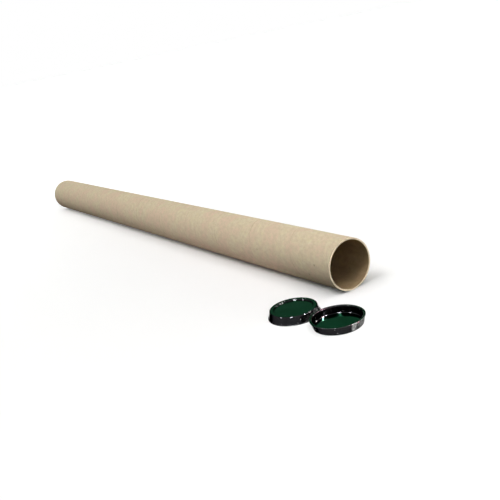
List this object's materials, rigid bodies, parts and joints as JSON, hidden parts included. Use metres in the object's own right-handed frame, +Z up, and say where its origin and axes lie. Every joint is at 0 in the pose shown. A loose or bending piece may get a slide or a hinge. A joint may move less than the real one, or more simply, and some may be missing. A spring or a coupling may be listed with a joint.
{
  "type": "cardboard mailing tube",
  "caption": "Long round spiral-wound cardboard mailing tube, open-ended, lying beside its loose push-in plastic plug caps, for posting rolled sheets.",
  "frame": {"origin": "middle of the tube's bore, on its axis, halfway along its length", "axes": "+X along the tube towards the mouth with the caps, +Z up; the floor is 40 mm below the origin"},
  "size_m": [1.3607, 0.1858, 0.0799],
  "materials": {
    "wound_card": "matt light kraft paper",
    "cap_plastic": "glossy black-green moulded plastic"
  },
  "bodies": {
    "root": {"tube": "wound_card", "end_cap_rim_up": "cap_plastic", "end_cap_rim_down": "cap_plastic"}
  },
  "joints": []
}
